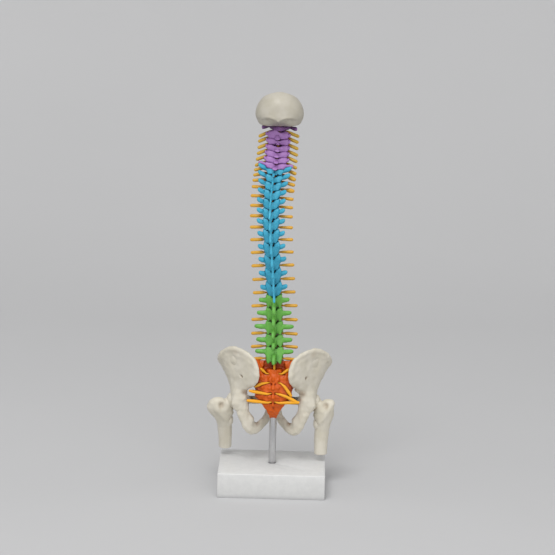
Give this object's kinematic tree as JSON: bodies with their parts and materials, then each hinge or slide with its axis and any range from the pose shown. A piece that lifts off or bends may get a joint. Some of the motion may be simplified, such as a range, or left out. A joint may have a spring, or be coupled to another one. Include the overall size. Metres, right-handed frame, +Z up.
{
  "type": "spine anatomy model",
  "caption": "Desk-size model of the human spine in region colours, with occiput, discs, cord and nerves, pelvis and turning upper thigh bones, on a rod and a flat base.",
  "frame": {"origin": "centre of the base's underside, on the floor plane", "axes": "+Z up along the support rod; the column's back and the spinous processes face -Y; +X is the model's own right side"},
  "size_m": [0.142, 0.095, 0.4502],
  "materials": {
    "neck_violet": "satin moulded plastic",
    "chest_blue": "satin moulded plastic",
    "lumbar_green": "satin moulded plastic",
    "sacrum_orange": "satin moulded plastic",
    "nerve_yellow": "soft yellow rubber",
    "disc_ivory": "soft off-white",
    "bone_cream": "satin moulded plastic",
    "rod_steel": "drawn steel",
    "base_white": "smooth white plastic"
  },
  "bodies": {
    "model": {"base": "base_white", "support_rod": "rod_steel", "sacrum_coccyx": "sacrum_orange", "hip_bone_left": "bone_cream", "hip_bone_right": "bone_cream", "sacral_screw_left": "rod_steel", "sacral_screw_right": "rod_steel", "spinal_cord": "nerve_yellow", "atlas_c1": "neck_violet", "axis_c2": "neck_violet", "cervical_c3": "neck_violet", "cervical_c4": "neck_violet", "cervical_c5": "neck_violet", "cervical_c6": "neck_violet", "cervical_c7": "neck_violet", "thoracic_t1": "chest_blue", "thoracic_t2": "chest_blue", "thoracic_t3": "chest_blue", "thoracic_t4": "chest_blue", "thoracic_t5": "chest_blue", "thoracic_t6": "chest_blue", "thoracic_t7": "chest_blue", "thoracic_t8": "chest_blue", "thoracic_t9": "chest_blue", "thoracic_t10": "chest_blue", "thoracic_t11": "chest_blue", "thoracic_t12": "chest_blue", "lumbar_l1": "lumbar_green", "lumbar_l2": "lumbar_green", "lumbar_l3": "lumbar_green", "lumbar_l4": "lumbar_green", "lumbar_l5": "lumbar_green", "disc_c2_c3": "disc_ivory", "disc_c3_c4": "disc_ivory", "disc_c4_c5": "disc_ivory", "disc_c5_c6": "disc_ivory", "disc_c6_c7": "disc_ivory", "disc_c7_t1": "disc_ivory", "disc_t1_t2": "disc_ivory", "disc_t2_t3": "disc_ivory", "disc_t3_t4": "disc_ivory", "disc_t4_t5": "disc_ivory", "disc_t5_t6": "disc_ivory", "disc_t6_t7": "disc_ivory", "disc_t7_t8": "disc_ivory", "disc_t8_t9": "disc_ivory", "disc_t9_t10": "disc_ivory", "disc_t10_t11": "disc_ivory", "disc_t11_t12": "disc_ivory", "disc_t12_l1": "disc_ivory", "disc_l1_l2": "disc_ivory", "disc_l2_l3": "disc_ivory", "disc_l3_l4": "disc_ivory", "disc_l4_l5": "disc_ivory", "disc_l5_s1": "disc_ivory", "occiput": "bone_cream"},
    "thigh_left": {"femur_left": "bone_cream", "hip_pin_left": "rod_steel"},
    "thigh_right": {"femur_right": "bone_cream", "hip_pin_right": "rod_steel"}
  },
  "joints": [
    {"name": "hip_left", "type": "hinge", "parent": "model", "child": "thigh_left", "pos_m": [-0.043, 0.013, 0.097], "axis": [1, 0, 0], "range_deg": [-34, 46]},
    {"name": "hip_right", "type": "hinge", "parent": "model", "child": "thigh_right", "pos_m": [0.043, 0.013, 0.097], "axis": [1, 0, 0], "range_deg": [-20, 60]}
  ]
}
